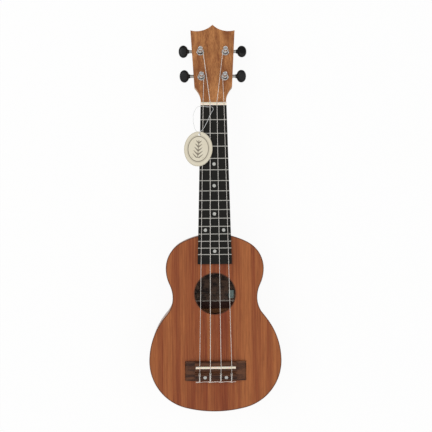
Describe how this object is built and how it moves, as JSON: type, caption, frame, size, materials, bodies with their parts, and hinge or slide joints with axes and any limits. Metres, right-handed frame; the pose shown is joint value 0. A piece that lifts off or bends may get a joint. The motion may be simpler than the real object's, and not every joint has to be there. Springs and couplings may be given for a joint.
{
  "type": "soprano ukulele",
  "caption": "Small four-string fretted instrument with a hollow figure-of-eight body, pitched headstock and geared tuning machines, lying on its back.",
  "frame": {"origin": "on the plane that the back lies on, under the middle of the instrument's length and width", "axes": "+Y towards the headstock, +Z the way the soundboard faces, +X to the right seen from the front"},
  "size_m": [0.178, 0.526, 0.0686],
  "materials": {
    "top_wood": "satin ribbon-grained sapele",
    "back_wood": "satin ribbon-grained sapele",
    "side_wood": "satin, open pored",
    "block_wood": "raw",
    "lining_wood": "raw, kerfed",
    "brace_wood": "raw spruce",
    "back_brace_wood": "raw",
    "label_paper": "matt",
    "neck_wood": "satin",
    "veneer_wood": "satin",
    "fretboard_wood": "matt, dyed dark",
    "fret_metal": "polished nickel silver",
    "pearl": "pearly",
    "bone": "satin",
    "bridge_wood": "matt rosewood",
    "nylon": "clear to white nylon",
    "plated_steel": "bright nickel plate",
    "chrome_bushing": "bright",
    "gear_brass": "satin",
    "dark_steel": "blackened",
    "knob_plastic": "matt black",
    "tag_card": "matt cream card",
    "clear_thread": "clear"
  },
  "bodies": {
    "ukulele": {"soundboard": "top_wood", "back_plate": "back_wood", "rib_left": "side_wood", "rib_right": "side_wood", "neck_block": "block_wood", "tail_block": "block_wood", "top_linings": "lining_wood", "back_linings": "lining_wood", "top_braces": "brace_wood", "back_braces": "back_brace_wood", "bridge_patch": "brace_wood", "soundhole_label": "label_paper", "neck": "neck_wood", "headstock_veneer": "veneer_wood", "fretboard": "fretboard_wood", "frets": "fret_metal", "position_dots": "pearl", "nut": "bone", "bridge": "bridge_wood", "saddle": "bone", "bridge_dots": "pearl", "tuner_screws": "plated_steel", "hang_tag": "tag_card", "tag_thread": "clear_thread", "string_g": "nylon", "string_c": "nylon", "string_e": "nylon", "string_a": "nylon", "tuner_plate_g": "plated_steel", "tuner_plate_c": "plated_steel", "tuner_plate_e": "plated_steel", "tuner_plate_a": "plated_steel", "post_bushing_g": "chrome_bushing", "post_bushing_c": "chrome_bushing", "post_bushing_e": "chrome_bushing", "post_bushing_a": "chrome_bushing"},
    "post_g": {"tuner_post_g": "plated_steel", "tuner_gear_g": "gear_brass", "gear_screw_g": "dark_steel", "string_winding_g": "nylon"},
    "key_g": {"worm_shaft_g": "plated_steel", "tuner_knob_g": "knob_plastic"},
    "post_c": {"tuner_post_c": "plated_steel", "tuner_gear_c": "gear_brass", "gear_screw_c": "dark_steel", "string_winding_c": "nylon"},
    "key_c": {"worm_shaft_c": "plated_steel", "tuner_knob_c": "knob_plastic"},
    "post_e": {"tuner_post_e": "plated_steel", "tuner_gear_e": "gear_brass", "gear_screw_e": "dark_steel", "string_winding_e": "nylon"},
    "key_e": {"worm_shaft_e": "plated_steel", "tuner_knob_e": "knob_plastic"},
    "post_a": {"tuner_post_a": "plated_steel", "tuner_gear_a": "gear_brass", "gear_screw_a": "dark_steel", "string_winding_a": "nylon"},
    "key_a": {"worm_shaft_a": "plated_steel", "tuner_knob_a": "knob_plastic"}
  },
  "joints": [
    {"name": "key_g_turn", "type": "hinge", "parent": "ukulele", "child": "key_g", "pos_m": [-0.0158, 0.19218, 0.03439], "axis": [-1, 0, 0], "continuous": true},
    {"name": "post_g_turn", "type": "hinge", "parent": "ukulele", "child": "post_g", "pos_m": [-0.0158, 0.18885, 0.05043], "axis": [0, 0.2079, 0.9781], "continuous": true},
    {"name": "key_c_turn", "type": "hinge", "parent": "ukulele", "child": "key_c", "pos_m": [-0.017, 0.2274, 0.0269], "axis": [-1, 0, 0], "continuous": true},
    {"name": "post_c_turn", "type": "hinge", "parent": "ukulele", "child": "post_c", "pos_m": [-0.017, 0.22406, 0.04295], "axis": [0, 0.2079, 0.9781], "continuous": true},
    {"name": "key_e_turn", "type": "hinge", "parent": "ukulele", "child": "key_e", "pos_m": [0.017, 0.2274, 0.0269], "axis": [1, 0, 0], "continuous": true},
    {"name": "post_e_turn", "type": "hinge", "parent": "ukulele", "child": "post_e", "pos_m": [0.017, 0.22406, 0.04295], "axis": [0, 0.2079, 0.9781], "continuous": true},
    {"name": "key_a_turn", "type": "hinge", "parent": "ukulele", "child": "key_a", "pos_m": [0.0158, 0.19218, 0.03439], "axis": [1, 0, 0], "continuous": true},
    {"name": "post_a_turn", "type": "hinge", "parent": "ukulele", "child": "post_a", "pos_m": [0.0158, 0.18885, 0.05043], "axis": [0, 0.2079, 0.9781], "continuous": true}
  ],
  "couplings": [
    {"joint": "post_g_turn", "follows": "key_g_turn", "ratio": 0.071429},
    {"joint": "post_c_turn", "follows": "key_c_turn", "ratio": 0.071429},
    {"joint": "post_e_turn", "follows": "key_e_turn", "ratio": 0.071429},
    {"joint": "post_a_turn", "follows": "key_a_turn", "ratio": 0.071429}
  ]
}
